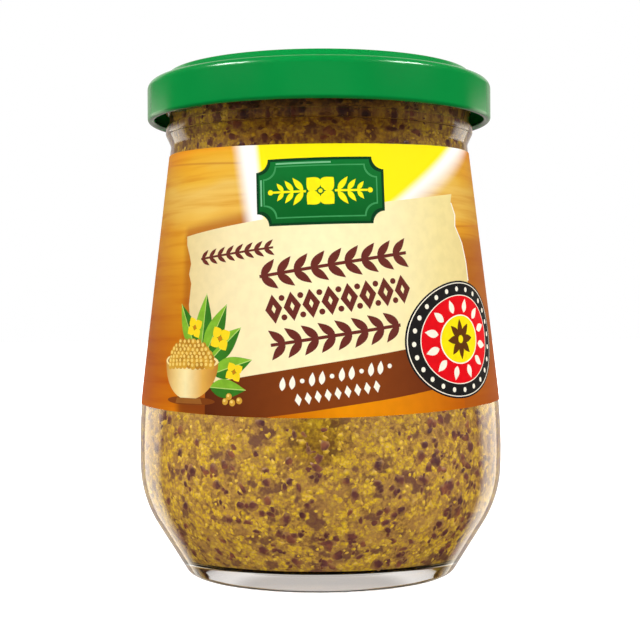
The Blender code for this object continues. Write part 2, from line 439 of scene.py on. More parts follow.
def turned(name, points, finish):
    """Spin a profile, which runs down its outer side, about the Z axis."""
    profile = bpy.data.meshes.new(name)
    corners = [(radius * MM, 0.0, height * MM) for radius, height in points]
    profile.from_pydata(corners, [(i, i + 1) for i in range(len(corners) - 1)], [])
    spun = link(bpy.data.objects.new(name, profile))
    screw = spun.modifiers.new("Screw", "SCREW")
    screw.axis = "Z"
    screw.angle = math.tau
    screw.steps = SIDES
    screw.render_steps = SIDES
    screw.use_merge_vertices = True
    screw.merge_threshold = MERGE_DISTANCE
    mesh = apply_modifiers(spun)
    bpy.data.meshes.remove(profile)
    mesh.name = name
    mesh.materials.clear()
    mesh.materials.append(finish)
    return spun


def union(body, helpers):
    """Fuse helpers into a body, and remove them."""
    group = bpy.data.collections.new(f"{body.name}_helpers")
    bpy.context.scene.collection.children.link(group)
    for helper in helpers:
        group.objects.link(helper)
    joined = body.modifiers.new("Union", "BOOLEAN")
    joined.operation = "UNION"
    joined.solver = "EXACT"
    joined.operand_type = "COLLECTION"
    joined.collection = group
    apply_modifiers(body)
    for helper in helpers:
        bpy.data.objects.remove(helper, do_unlink=True)
    bpy.data.collections.remove(group)


def smooth(piece, angle=SHARP_ANGLE):
    piece.data.shade_smooth()
    piece.data.set_sharp_from_angle(angle=math.radians(angle))


def settle(piece, node):
    """Let a piece ride on the part's one body, in place of a CAD node if it replaces one."""
    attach(piece, BODY)
    if node:
        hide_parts(node)


def lower_cone():
    """The outside of the glass, from the edge of the foot to the top of the lower cone."""
    wall = Outline(FOOT_RADIUS, 0.0, 90.0)
    wall.arc(HEEL_BEND, LOWER_SLOPE, 12)
    return wall.line(LOWER_LENGTH)


def outer_wall():
    """The outside of the glass, from the edge of the foot to the ring under the lid."""
    wall = lower_cone()
    wall.arc(BELLY_BEND, BELLY_SLOPE, 24)
    wall.arc(SHOULDER_BEND, UPPER_SLOPE, 16)
    wall.rise_to(NECK_HEIGHT)
    wall.arc(NECK_BEND, NECK_FLARE, 6)
    wall.rise_to(RING_BOTTOM)
    return wall.points


def finish_wall():
    """The outside of the neck, from the ring up to the middle of the rim."""
    wall = Outline(RING_RADIUS - RING_EDGE, RING_BOTTOM, 90.0)
    wall.arc(RING_EDGE, 0.0, 5)
    wall.rise_to(RING_TOP - RING_EDGE)
    wall.arc(RING_EDGE, -90.0, 5)
    wall.to(FINISH_RADIUS, RING_TOP + 0.3)
    wall.heading = 0.0
    wall.rise_to(RIM_HEIGHT - RIM_BEND)
    wall.arc(RIM_BEND, -90.0, 6)
    return wall.points


def inner_wall(offset=0.0):
    """The inside of the glass, from the floor up, or a line inside it by an offset."""
    slope = math.radians(LOWER_SLOPE)
    inset = WALL + offset
    cone_radius, cone_height = lower_cone().points[-1]
    cone_top_radius = cone_radius - inset * math.cos(slope)
    cone_top_height = cone_height + inset * math.sin(slope)
    bend = FLOOR_BEND - offset
    floor = FLOOR_HEIGHT + offset
    bend_top = floor + bend * (1.0 - math.sin(slope))
    bend_end = cone_top_radius - (cone_top_height - bend_top) * math.tan(slope)
    wall = Outline(bend_end - bend * math.cos(slope), floor, 90.0)
    wall.arc(bend, LOWER_SLOPE, 10)
    wall.to(cone_top_radius, cone_top_height)
    wall.arc(BELLY_BEND - inset, BELLY_SLOPE, 20)
    wall.arc(SHOULDER_BEND - inset, UPPER_SLOPE, 14)
    mouth = MOUTH_RADIUS - offset
    run = (wall.points[-1][0] - mouth) / math.sin(math.radians(-UPPER_SLOPE))
    wall.line(run)
    return wall.points


def dome(edge, height, rise, steps=8):
    """A shallow dome's profile, from its edge to the axis."""
    shares = [1.0 - step / steps for step in range(1, steps + 1)]
    return [(edge * share, height + rise * (1.0 - share * share)) for share in shares]


def jar_profile():
    inside = dome(inner_wall()[0][0], FLOOR_HEIGHT, FLOOR_RISE)[::-1] + inner_wall()
    rim = Outline(MOUTH_RADIUS, RIM_HEIGHT - RIM_BEND, 0.0)
    rim.arc(RIM_BEND, 90.0, 6)
    outside = (outer_wall() + finish_wall())[::-1]
    foot = Outline(FOOT_RADIUS, 0.0, -90.0)
    foot.line(FOOT_WIDTH - FOOT_EDGE)
    foot.arc(FOOT_EDGE, PUNT_SLOPE, 5)
    foot.to(FOOT_RADIUS - FOOT_WIDTH - PUNT_SLOPE_WIDTH, PUNT_HEIGHT)
    punt = dome(foot.points[-1][0], PUNT_HEIGHT, PUNT_RISE)
    return inside + rim.points + outside + foot.points[1:] + punt


def ridges():
    """Short sloping ridges round the neck, each a bevelled curve made a mesh."""
    made = []
    for index in range(RIDGE_COUNT):
        curve = bpy.data.curves.new(f"ridge_{index + 1}", "CURVE")
        curve.dimensions = "3D"
        curve.bevel_depth = RIDGE_RADIUS * MM
        curve.bevel_resolution = 3
        curve.use_fill_caps = True
        spline = curve.splines.new("POLY")
        spline.points.add(RIDGE_STEPS)
        for step, point in enumerate(spline.points):
            share = step / RIDGE_STEPS
            angle = math.radians(360.0 * index / RIDGE_COUNT + RIDGE_SWEEP * share)
            point.co = (
                RIDGE_PATH_RADIUS * MM * math.cos(angle),
                RIDGE_PATH_RADIUS * MM * math.sin(angle),
                (RIDGE_LOW + (RIDGE_HIGH - RIDGE_LOW) * share) * MM,
                1.0,
            )
            point.radius = RIDGE_END_SHARE if step in (0, RIDGE_STEPS) else 1.0
        ridge = link(bpy.data.objects.new(curve.name, curve))
        weld = bmesh.new()
        weld.from_mesh(evaluated_mesh(ridge))
        bpy.data.objects.remove(ridge, do_unlink=True)
        bmesh.ops.remove_doubles(weld, verts=weld.verts, dist=MERGE_DISTANCE)
        bmesh.ops.recalc_face_normals(weld, faces=weld.faces)
        mesh = bpy.data.meshes.new(curve.name)
        weld.to_mesh(mesh)
        weld.free()
        made.append(bpy.data.objects.new(mesh.name, mesh))
    return made


def clear_glass():
    glass = Shader(
        "clear_glass",
        Base_Color=(*linear(254, 254, 253), 1.0),
        Roughness=0.0,
        IOR=1.5,
        Transmission_Weight=1.0,
    )
    return glass.material


def build_glass():
    jar = turned("glass", jar_profile(), clear_glass())
    union(jar, ridges())
    smooth(jar)
    jar.visible_shadow = False
    settle(jar, "glass_jar")


def button(depth):
    """The middle of the lid, drawn down by the vacuum, from the axis outwards."""
    low = LID_TOP - BUTTON_DROP - depth
    points = [(0.0, low)]
    for step in range(BUTTON_STEPS + 1):
        share = step / BUTTON_STEPS
        rise = BUTTON_DROP * share * share * (3.0 - 2.0 * share)
        points.append((BUTTON_RADIUS + BUTTON_SLOPE_WIDTH * share, low + rise))
    return points


def lid_profile():
    """Down the outside of the lid, round its curled edge and back up inside to the axis."""
    skin = Outline(PANEL_RADIUS - PANEL_BEND, LID_TOP, 90.0)
    skin.arc(PANEL_BEND, PANEL_SLOPE, 8)
    skin.rise_to(LEDGE_HEIGHT + LEDGE_BEND * 0.5)
    skin.arc(LEDGE_BEND, 90.0, 6)
    skin.to(LID_RADIUS - LID_CORNER, skin.points[-1][1])
    skin.arc(LID_CORNER, 180.0, 14)
    skin.rise_to(SKIRT_BOTTOM + CURL_BEND)
    skin.arc(CURL_BEND, 360.0, 16)
    inner_radius = LID_RADIUS - LID_STEEL
    ledge_under = LEDGE_HEIGHT - LID_STEEL
    inside = [
        (inner_radius, SKIRT_BOTTOM + CURL_BEND * 2),
        (inner_radius, ledge_under - LID_CORNER + LID_STEEL),
        (inner_radius - LID_CORNER + LID_STEEL, ledge_under),
        (GASKET_INNER, ledge_under),
        (GASKET_INNER, LID_TOP - LID_STEEL),
    ]
    return button(0.0) + skin.points + inside + button(LID_STEEL)[::-1]


def lugs():
    """Four pressed tabs that stand in from the curled edge."""
    made = []
    for index in range(RIDGE_COUNT):
        angle = math.radians(360.0 * index / RIDGE_COUNT + LUG_TURN)
        tab = bmesh.new()
        bmesh.ops.create_cube(tab, size=1.0, matrix=Matrix.Diagonal((*LUG_SIZE, 1.0)))
        bmesh.ops.scale(tab, vec=(MM, MM, MM), verts=tab.verts)
        edges = tab.edges[:]
        bmesh.ops.bevel(tab, geom=edges, offset=LUG_BEVEL * MM, segments=4, affect="EDGES", profile=0.5)
        mesh = bpy.data.meshes.new(f"lug_{index + 1}")
        tab.to_mesh(mesh)
        tab.free()
        lug = bpy.data.objects.new(mesh.name, mesh)
        reach = LUG_RADIUS * MM
        lug.location = (reach * math.cos(angle), reach * math.sin(angle), LUG_HEIGHT * MM)
        lug.rotation_euler = (0.0, 0.0, angle)
        made.append(lug)
    return made


def green_lacquer():
    lacquer = Shader("green_lacquer", Roughness=0.18, IOR=1.35, Specular_IOR_Level=0.32)
    shade = lacquer.noise(40.0, 3.0)
    lacquer.set(Base_Color=lacquer.ramp(shade, [(0.3, (2, 134, 57)), (0.7, (6, 144, 63))]))
    lacquer.bump(lacquer.noise(900.0, 2.0), 0.06, 0.0002)
    return lacquer.material


def build_lid():
    lid = turned("twist_lid", lid_profile(), green_lacquer())
    union(lid, lugs())
    smooth(lid)
    settle(lid, "lid")


def neck_shaded(shader, color):
    """A colour that darkens up the neck, most at its front, where the lid keeps light off."""
    across, _, height = shader.parts()
    shade = shader.ramp(shader.span(height, *NECK_SHADE_HEIGHTS, ease="LINEAR"), NECK_SHADES)
    side = shader.span(shader.math("ABSOLUTE", across), 0.010, 0.022, 0.0, 0.62)
    shade = shader.mix(side, shade, WHITE)
    return shader.mix(1.0, color, shade, "MULTIPLY")


def mustard_paste():
    """Crushed seeds of several yellows in a tan paste, darker where they part."""
    paste = Shader("coarse_mustard", IOR=1.4, Specular_IOR_Level=0.3)
    swirl = paste.node("ShaderNodeTexNoise", {"Vector": paste.place(), "Scale": 900.0, "Detail": 3.0})
    warp = paste.vector("SCALE", {0: swirl.outputs["Color"], "Scale": 0.0022})
    place = paste.vector("ADD", {0: paste.place(), 1: warp})
    pieces = paste.node("ShaderNodeTexVoronoi", {"Vector": place, "Scale": 840.0})
    kind = paste.node("ShaderNodeSeparateColor", {"Color": pieces.outputs["Color"]}).outputs[0]
    fine = paste.noise(1400.0, 3.0, 0.6)
    blend = paste.plus(paste.times(kind, 0.5), paste.span(fine, 0.3, 0.7, 0.0, 0.5))
    color = paste.ramp(blend, PASTE_TONES)
    gap = paste.span(pieces.outputs["Distance"], 0.4, 0.8, 0.0, 0.4)
    color = paste.mix(gap, color, linear(112, 76, 36))
    drift = paste.noise(170.0, 3.0, 0.55)
    color = paste.mix(paste.span(drift, 0.42, 0.66, 0.0, 0.5), color, linear(146, 106, 58))
    _, _, height = paste.parts()
    stain = paste.plus(paste.noise(260.0, 3.0, 0.6), paste.span(height, 0.0, 0.04, 0.05, 0.0))
    stain = paste.plus(stain, paste.span(height, 0.076, 0.086, 0.0, 0.05))
    color = paste.mix(paste.span(stain, 0.57, 0.65, 0.0, 0.85), color, linear(94, 54, 44))
    # Painted light: about a spot on the paste's front, just below the label, the colour turns a deeper
    # yellow, as a patch of light.
    glow = paste.vector("DISTANCE", {0: place, 1: PAINTED_LIGHT_SPOT}, "Value")
    color = paste.mix(paste.span(glow, 0.0025, 0.008, 1.0, 0.0), color, linear(228, 226, 40), "MULTIPLY")
    paste.set(Base_Color=neck_shaded(paste, color), Roughness=paste.span(fine, 0.3, 0.7, 0.35, 0.55))
    paste.bump(paste.math("SUBTRACT", 1.0, pieces.outputs["Distance"]), 0.4, 0.0003)
    return paste.material


def mustard_wall():
    """The paste's side, just into the glass, lifted clear of the glass's floor at its lower edge."""
    wall = inner_wall(-MUSTARD_REACH)
    lifts = [FLOOR_GAP * max(0.0, 1.0 - step / FLOOR_GAP_STEPS) for step in range(len(wall))]
    return [(radius, height + lift) for (radius, height), lift in zip(wall, lifts)]


def build_mustard():
    wall = mustard_wall()
    edge = wall[-1][0]
    surface = dome(edge, MUSTARD_TOP, MUSTARD_DOME)[::-1] + [(edge, MUSTARD_TOP)]
    floor = dome(wall[0][0], wall[0][1], FLOOR_RISE)
    mustard = turned("mustard_paste", surface + wall[::-1] + floor, mustard_paste())
    smooth(mustard)
    settle(mustard, "mustard")


def grain_places(count, seed, crowding):
    """Places and outward directions on the paste's side, thinned by a crowding rule."""
    draw = random.Random(seed)
    line = inner_wall(-MUSTARD_REACH)[FLOOR_GAP_STEPS:]
    line.append((line[-1][0], MUSTARD_TOP - 1.0))
    runs = list(zip(line, line[1:]))
    weights = [math.dist(low, high) * (low[0] + high[0]) for low, high in runs]
    places = []
    while len(places) < count:
        (low, high), = draw.choices(runs, weights)
        share = draw.random()
        radius = low[0] + (high[0] - low[0]) * share
        height = low[1] + (high[1] - low[1]) * share
        angle = draw.uniform(0.0, math.tau)
        spot = Vector((radius * math.cos(angle), radius * math.sin(angle), height))
        if draw.random() > crowding(spot):
            continue
        slope = Vector((high[1] - low[1], low[0] - high[0])).normalized()
        out = Vector((slope.x * math.cos(angle), slope.x * math.sin(angle), slope.y))
        places.append((spot, out))
    return places


def build_pieces(name, places, sizes, roundness, finish, seed):
    """One joined mesh of small flattened lumps that lie against the glass."""
    draw = random.Random(seed)
    ball = bmesh.new()
    bmesh.ops.create_icosphere(ball, subdivisions=roundness, radius=1.0)
    shape = np.array([vert.co for vert in ball.verts])
    faces = np.array([[vert.index for vert in face.verts] for face in ball.faces])
    ball.free()
    corners, triangles, crowns = [], [], []
    for index, (spot, out) in enumerate(places):
        long = draw.triangular(*sizes) * 0.5
        wide = long * draw.uniform(0.5, 0.95)
        deep = long * GRAIN_FLATNESS
        turn = Matrix.Rotation(draw.uniform(0.0, math.tau), 3, "Z")
        basis = out.to_track_quat("Z", "Y").to_matrix() @ turn
        lumps = np.array([draw.uniform(0.75, 1.2) for _ in range(len(shape))])[:, None]
        local = shape * lumps * np.array((long, wide, deep))
        centre = np.array(spot - out * deep * (1.0 - GRAIN_SHOWN))
        corners.append(local @ np.array(basis).T + centre)
        triangles.append(faces + index * len(shape))
        crowns.append(shape[:, 2])
    mesh = bpy.data.meshes.new(name)
    mesh.from_pydata((np.concatenate(corners) * MM).tolist(), [], np.concatenate(triangles).tolist())
    mesh.attributes.new("crown", "FLOAT", "POINT").data.foreach_set("value", np.concatenate(crowns))
    mesh.materials.append(finish)
    piece = link(bpy.data.objects.new(name, mesh))
    mesh.shade_smooth()
    settle(piece, None)


def cluster(spot):
    """How thickly the husks lie about a place."""
    return noise.noise(spot * 0.32) + 0.6 * noise.noise(spot * 0.11)


def husk_crowding(spot):
    """Husks lie in clusters, thicker towards the bottom of the jar."""
    low = 1.0 - min(1.0, spot.z / 45.0)
    neck = max(0.0, spot.z - 78.0) / 10.0
    return max(0.04, min(1.0, 0.05 + 1.9 * cluster(spot) + 0.35 * low + 0.3 * neck))


def seed_crowding(spot):
    """Yellow grits gather where the husks are few."""
    return max(0.1, min(1.0, 0.55 - 1.4 * cluster(spot)))


def grain_skin(name, roughness, scale, stops, edge, ragged, rim):
    """A grain that takes on the rim's colour from its crown, where the crown value is 1, to its edge."""
    skin = Shader(name, Roughness=roughness, IOR=1.4, Specular_IOR_Level=0.3)
    color = skin.ramp(skin.noise(scale), stops)
    crown = skin.node("ShaderNodeAttribute", attribute_name="crown").outputs["Fac"]
    crown = skin.plus(crown, skin.span(skin.noise(900.0), 0.3, 0.7, -ragged, ragged))
    low, high, share = edge
    color = skin.mix(skin.span(crown, low, high, share, 0.0), color, linear(*rim))
    skin.set(Base_Color=neck_shaded(skin, color))
    skin.bump(skin.noise(1800.0), 0.3, 0.0002)
    return skin.material


def husk_skin():
    stops = [(0.32, (66, 32, 36)), (0.50, (92, 48, 42)), (0.68, (126, 70, 44))]
    return grain_skin("mustard_husk", 0.45, 420.0, stops, (0.58, 0.92, 0.9), 0.12, (142, 102, 52))


def grit_skin():
    stops = [(0.34, (178, 140, 26)), (0.5, (204, 170, 16)), (0.66, (212, 178, 62))]
    return grain_skin("mustard_grit", 0.4, 500.0, stops, (0.62, 0.9, 0.7), 0.0, (160, 122, 48))


def build_grains():
    grits = grain_places(SEED_COUNT, 21, seed_crowding)
    build_pieces("mustard_grits", grits, SEED_SIZE, 1, grit_skin(), 22)
    husks = grain_places(HUSK_COUNT, 11, husk_crowding)
    build_pieces("mustard_husks", husks, HUSK_SIZE, 2, husk_skin(), 12)


WALL_LINE = outer_wall()
WALL_HEIGHTS = [height for _, height in WALL_LINE]
WALL_RADII = [radius for radius, _ in WALL_LINE]


def radius_at(height):
    """The glass's outer radius at a height on the body."""
    return float(np.interp(height, WALL_HEIGHTS, WALL_RADII))


def wrapped(along, height, lift):
    """A place on the glass, from its place on the unrolled sheet."""
    angle = math.radians(FRONT_ANGLE) + along / radius_at(height)
    reach = radius_at(height) + lift
    return Vector((reach * math.cos(angle), reach * math.sin(angle), height)) * MM


def label_edge(front_height, dip, turn):
    """An edge's height at an angle from the front: it dips at the front and tilts to one side."""
    sag = dip * (math.cos(turn) ** 2 if abs(turn) < math.pi / 2 else 0.0)
    tilt = radius_at(front_height) * math.sin(turn) * math.tan(math.radians(LABEL_TILT))
    return front_height + dip - sag + tilt


def label_border():
    """The sheet's outline: along the bottom, up the right end, back along the top, down the left."""
    steps = 240
    end = math.radians(LABEL_END)
    turns = [end * (2.0 * step / steps - 1.0) for step in range(steps + 1)]

    def edge(front_height, dip):
        heights = [label_edge(front_height, dip, turn) for turn in turns]
        return [(turn * radius_at(height), height) for turn, height in zip(turns, heights)]

    def side(turn, low, high):
        rows = 50
        heights = [low + (high - low) * row / rows for row in range(1, rows)]
        return [(turn * radius_at(height), height) for height in heights]

    low, high = edge(LABEL_BOTTOM, LABEL_DIP_BOTTOM), edge(LABEL_TOP, LABEL_DIP_TOP)
    right = side(end, low[-1][1], high[-1][1])
    left = side(-end, low[0][1], high[0][1])
    return low + right + high[::-1] + left[::-1]


def divided(points):
    """A closed outline with its long sides divided, so that it follows the round glass."""
    made = []
    for start, end in zip(points, points[1:] + points[:1]):
        parts = max(1, math.ceil(math.dist(start, end) / OUTLINE_STEP))
        for part in range(parts):
            share = part / parts
            made.append((start[0] + (end[0] - start[0]) * share, start[1] + (end[1] - start[1]) * share))
    return made


def ring(reach, start=0.0, end=360.0, steps=48):
    """Points round an ellipse about the origin, between two angles."""
    count = steps if end - start >= 360.0 else steps + 1
    angles = [math.radians(start + (end - start) * step / steps) for step in range(count)]
    return [(reach[0] * math.cos(angle), reach[1] * math.sin(angle)) for angle in angles]


class Sheet:
    """Flat printed shapes on the unrolled label, later ones over earlier ones."""

    def __init__(self):
        self.shapes = [(label_border(), "wood")]
        self.at((0.0, 0.0))

    def at(self, origin, tilt=0.0, upright=False):
        """Draw what follows about this origin, turned, or upright on a slanting part of the sheet."""
        self.origin = origin
        self.turn = (math.cos(math.radians(tilt)), math.sin(math.radians(tilt)))
        self.lean = origin[0] / radius_at(origin[1]) if upright else 0.0
        return self

    def area(self, points, ink):
        cos, sin = self.turn
        moved = [
            (self.origin[0] + x * cos - y * sin, self.origin[1] + x * sin + y * cos)
            for x, y in points
        ]
        if self.lean:
            middle = radius_at(self.origin[1])
            moved = [(x + self.lean * (radius_at(y) - middle), y) for x, y in moved]
        twist = sum(a[0] * b[1] - b[0] * a[1] for a, b in zip(moved, moved[1:] + moved[:1]))
        if twist < 0.0:
            moved.reverse()
        self.shapes.append((divided(moved), ink))

    def disc(self, centre, reach, ink, steps=16):
        reach = reach if isinstance(reach, tuple) else (reach, reach)
        self.area([(centre[0] + x, centre[1] + y) for x, y in ring(reach, steps=steps)], ink)

    def lozenge(self, centre, reach, ink):
        self.disc(centre, reach, ink, steps=4)

    def box(self, low, high, ink):
        """An upright rectangle between two corners."""
        self.area([low, (high[0], low[1]), high, (low[0], high[1])], ink)

    def strip(self, start, end, width, ink):
        """A straight band of even width."""
        start, end = Vector(start), Vector(end)
        way = (end - start).normalized() * (width / 2.0)
        side = Vector((-way.y, way.x))
        self.area([start - side, end - side, end + side, start + side], ink)

    def leaf(self, base, tip, width, ink, shade=None, steps=8):
        """A pointed leaf from base to tip, with its lower half in a second ink if one is given."""
        stem, way = Vector(base), Vector(tip) - Vector(base)
        side = Vector((-way.y, way.x)).normalized() * (width / 2.0)
        shares = [step / steps for step in range(1, steps)]
        upper = [stem + way * share + side * math.sin(math.pi * share ** 0.8) for share in shares]
        lower = [stem + way * share - side * math.sin(math.pi * share ** 0.8) for share in shares]
        half = [stem] + lower + [stem + way]
        self.area(half + upper[::-1], ink)
        if shade:
            self.area(half, shade)

    def flower(self, centre, reach, petals, ink, heart, start=45.0, fullness=0.85):
        """A blossom of petals about a small disc."""
        for petal in range(petals):
            angle = math.radians(start + 360.0 * petal / petals)
            way = Vector((math.cos(angle), math.sin(angle)))
            tip = Vector(centre) + way * reach
            base = Vector(centre) + way * reach * 0.12
            self.leaf(base, tip, reach * fullness, ink)
        self.disc(centre, reach * 0.2, heart, steps=10)

    def vine(self, length, height, leaves, ink, thick):
        """A straight stem from the origin, with pairs of leaves along it."""
        self.strip((0.0, 0.0), (length, 0.0), thick, ink)
        pitch = length / leaves
        for index in range(leaves):
            foot = pitch * (index + 0.1)
            for side in (-1.0, 1.0):
                self.leaf((foot, 0.0), (foot + pitch * 0.95, side * height * 0.5), height * 0.28, ink)


def along_foot(start, end, steps=8):
    """Points just above the label's lower edge, between two places along it."""
    spots = [start + (end - start) * step / steps for step in range(steps + 1)]
    turns = [(spot, spot / radius_at(LABEL_BOTTOM)) for spot in spots]
    return [(spot, label_edge(LABEL_BOTTOM, LABEL_DIP_BOTTOM, turn) + 0.02) for spot, turn in turns]


def draw_panel(sheet):
    """The pale paper panel, with torn sides, and the brown and orange bands across its foot."""
    sheet.at((0.0, 0.0))
    sheet.area(PANEL_LEFT + [(33.6, 44.0)] + PANEL_RIGHT[::-1], "cream")
    torn = [(x + 0.28, z) for x, z in PANEL_RIGHT[1:7]]
    sheet.area(PANEL_RIGHT[1:7] + torn[::-1], "torn_paper")
    sheet.area(BAND_LOW + along_foot(-9.4, 30.0), "orange_strip")
    sheet.area(BAND_TOP + BAND_LOW + along_foot(-10.0, -22.3), "brown_band")


def draw_rows(sheet):
    """Rows of plain ornament on the panel and the band."""
    sheet.at((-11.0, 57.9), ROW_TILT).vine(27.6, 5.4, 9, "brown_ink", 0.6)
    sheet.at((-10.0, 51.8), ROW_TILT - 0.6)
    units = 8
    pitch = 27.4 / units
    for index in range(units):
        middle = (pitch * (index + 0.5), 0.0)
        sheet.lozenge(middle, (1.6, 2.65), "brown_ink")
        sheet.lozenge(middle, (0.4, 0.8), "cream")
        if index:
            for side in (-1.0, 1.0):
                sheet.disc((pitch * index, side * 1.75), 0.55, "brown_ink", steps=10)
    sheet.at((14.9, 49.1), ROW_TILT - 0.6).vine(-24.0, 5.4, 8, "brown_ink", 0.6)
    sheet.at((-23.9, 61.4), 6.5).vine(15.6, 2.9, 8, "brown_ink", 0.4)
    sheet.at((-7.6, 38.6), ROW_TILT)
    for index in range(12):
        middle = (0.9 + 1.78 * index, 0.0)
        if index % 3 == 2:
            sheet.disc(middle, 0.42, "cream_ink", steps=10)
        else:
            sheet.leaf((middle[0] - 0.3, -1.2), (middle[0] + 0.3, 1.2), 1.1, "cream_ink")
    sheet.at((-4.7, 35.85), ROW_TILT)
    for index in range(9):
        middle = (0.8 + 1.78 * index, 0.0)
        sheet.lozenge(middle, (0.62, 1.1), "cream_ink")


def plaque_outline(half_width, half_height, notch):
    """A plaque with hollowed corners."""
    points = []
    for across, up, start in ((1, 1, 270), (-1, 1, 360), (-1, -1, 90), (1, -1, 180)):
        arc = ring((notch, notch), start, start - 90, 8)
        points += [(across * half_width + x, up * half_height + y) for x, y in arc]
    return points


def draw_plaque(sheet):
    """The green plaque, with a blossom between two sprigs."""
    sheet.at((0.2, 73.3), 1.5)
    layers = ((0.0, "plaque_rim"), (0.5, "plaque"), (1.3, "plaque_line"), (1.55, "plaque"))
    for inset, ink in layers:
        sheet.area(plaque_outline(11.8 - inset, 6.1 - inset, 2.3), ink)
    sheet.strip((-10.9, -2.4), (-10.9, 2.4), 0.3, "plaque_light")
    sheet.strip((-8.0, 5.2), (2.0, 5.2), 0.3, "plaque_light")
    sheet.flower((0.0, 0.0), 3.4, 4, "yellow_ink", "plaque")
    sheet.disc((0.0, 0.0), 0.4, "yellow_ink", steps=10)
    for side in (-1.0, 1.0):
        sheet.strip((side * 2.6, 0.0), (side * 8.6, 0.0), 0.4, "yellow_ink")
        for index in range(3):
            foot = side * (3.1 + 1.8 * index)
            size = 2.5 - 0.45 * index
            width = 1.1 - 0.15 * index
            for up in (-1.0, 1.0):
                tip = (foot + side * size * 0.75, up * size)
                sheet.leaf((foot, 0.1 * up), tip, width, "yellow_ink")
        sheet.disc((side * 9.1, 0.0), 0.5, "yellow_ink", steps=10)


def on_seal(share, turn):
    """A place on the rosette, from its share of the way out and its share of a turn."""
    wide, high = SEAL_REACH
    return wide * share * math.cos(math.tau * turn), high * share * math.sin(math.tau * turn)


def draw_seal(sheet):
    """A round rosette of three rings, with dots, with leaves, and with a blossom."""
    wide, high = SEAL_REACH
    sheet.at((29.6, 46.4), 4.0)
    for share, ink in SEAL_RINGS:
        sheet.disc((0.0, 0.0), (wide * share, high * share), ink, steps=64)
    for index in range(SEAL_DOTS):
        sheet.disc(on_seal(0.86, index / SEAL_DOTS), 0.48, "seal_cream", steps=10)
    for index in range(SEAL_LEAVES):
        turn = (index + 0.5) / SEAL_LEAVES
        sheet.leaf(on_seal(0.46, turn), on_seal(0.70, turn), 1.5, "seal_cream")
    sheet.flower((0.0, 0.0), 3.8, 8, "seal_brown", "seal_gold", start=90.0, fullness=0.4)


def draw_bowl(sheet):
    """A bowl heaped with seeds, with leaves and blossoms beside it."""
    draw = random.Random(5)
    sheet.at((-26.6, 34.4))
    sheet.disc((0.2, 1.0), (6.4, 0.8), "bowl_shadow", steps=28)
    for base, tip, width in (
        ((3.0, 9.0), (4.4, 20.6), 4.2), ((5.0, 8.0), (12.0, 14.4), 4.0), ((6.0, 6.0), (14.2, 8.6), 3.8),
        ((2.0, 10.0), (-2.6, 18.8), 3.8), ((5.4, 3.6), (13.0, 3.2), 3.4), ((4.0, 9.0), (9.0, 18.6), 4.0),
    ):
        sheet.leaf(base, tip, width, "leaf_light", "leaf_dark", steps=12)
        sheet.strip(base, tip, 0.16, "leaf_vein")
    for centre, reach in (((7.6, 12.4), 2.5), ((1.4, 14.4), 2.2), ((10.6, 6.4), 2.0)):
        sheet.flower(centre, reach, 4, "petal", "petal_heart", start=30.0)
    half = 7.3
    bowl = ring((half, 7.0), 180.0, 360.0, 30)
    sheet.area([(x, y + 8.2) for x, y in bowl], "bowl")
    sheet.area([(-3.2, 1.5), (3.2, 1.5), (3.6, 0.5), (-3.6, 0.5)], "bowl_foot")
    sheet.disc((0.0, 8.2), (half, 1.6), "bowl_rim", steps=32)
    sheet.disc((0.0, 8.2), (half - 0.6, 1.15), "bowl_foot", steps=32)
    rows = 7
    for row in range(rows):
        height = 11.6 - 4.2 * row / (rows - 1)
        reach = 6.3 * math.sqrt(max(0.0, 1.0 - ((height - 7.6) / 4.6) ** 2))
        count = max(2, round(reach * 2.0 / 1.15))
        for index in range(count):
            across = reach * (2.0 * (index + 0.5) / count - 1.0) + draw.uniform(-0.12, 0.12)
            spot = (across, height + draw.uniform(-0.12, 0.12))
            sheet.disc(spot, 0.72, draw.choice(("seed_dark", "seed_mid")), steps=12)
            sheet.disc((spot[0] - 0.18, spot[1] + 0.2), 0.34, "seed_light", steps=8)
    for spot in ((8.8, 1.1), (10.3, 0.9), (11.7, 1.3), (9.6, 2.0)):
        sheet.disc(spot, 0.62, "seed_mid", steps=12)
        sheet.disc((spot[0] - 0.16, spot[1] + 0.18), 0.28, "seed_light", steps=8)


def draw_back(sheet):
    """Plain panels with rules on the two sides that the front view doesn't show."""
    for middle, lines in ((-78.0, 9), (78.0, 8)):
        sheet.at((middle, 57.0), upright=True)
        sheet.area(divided([(-14.5, -17.0), (14.5, -17.0), (14.5, 17.0), (-14.5, 17.0)]), "cream")
        sheet.box((-14.5, 11.5), (14.5, 17.0), "brown_band")
        for line in range(lines):
            height = 8.6 - line * 2.7
            length = 24.0 if line % 3 else 18.0
            sheet.box((-12.0, height), (-12.0 + length, height + 0.35), "brown_ink")
        top = 71.25
        shift = middle / radius_at(57.0) * (radius_at(top) - radius_at(57.0))
        sheet.at((middle + shift - 10.0, top)).vine(20.0, 3.6, 8, "cream_ink", 0.35)


def sheet_place(shader):
    """The millimetres along and up the unrolled label, as two values."""
    place = shader.node("ShaderNodeUVMap", uv_map="sheet").outputs["UV"]
    return [shader.times(part, SHEET_UNIT) for part in shader.parts(place)[:2]]


def paper_ink(name):
    return Shader(name, Roughness=0.6, IOR=1.3, Specular_IOR_Level=0.1)


def paper_finish(shader):
    shader.bump(shader.noise(2600.0, 3.0), 0.08, 0.0001)
    return shader.material


def plain_ink(name, color, spread=INK_SPREAD):
    """A printed colour, slightly uneven as ink on paper is."""
    ink = paper_ink(name)
    light = [min(1.0, value * (1.0 + spread)) for value in linear(*color)]
    dark = [value * (1.0 - spread) for value in linear(*color)]
    mottle = ink.span(ink.noise(700.0, 3.0), 0.35, 0.65, ease="LINEAR")
    ink.set(Base_Color=ink.mix(mottle, dark, light))
    return paper_finish(ink)


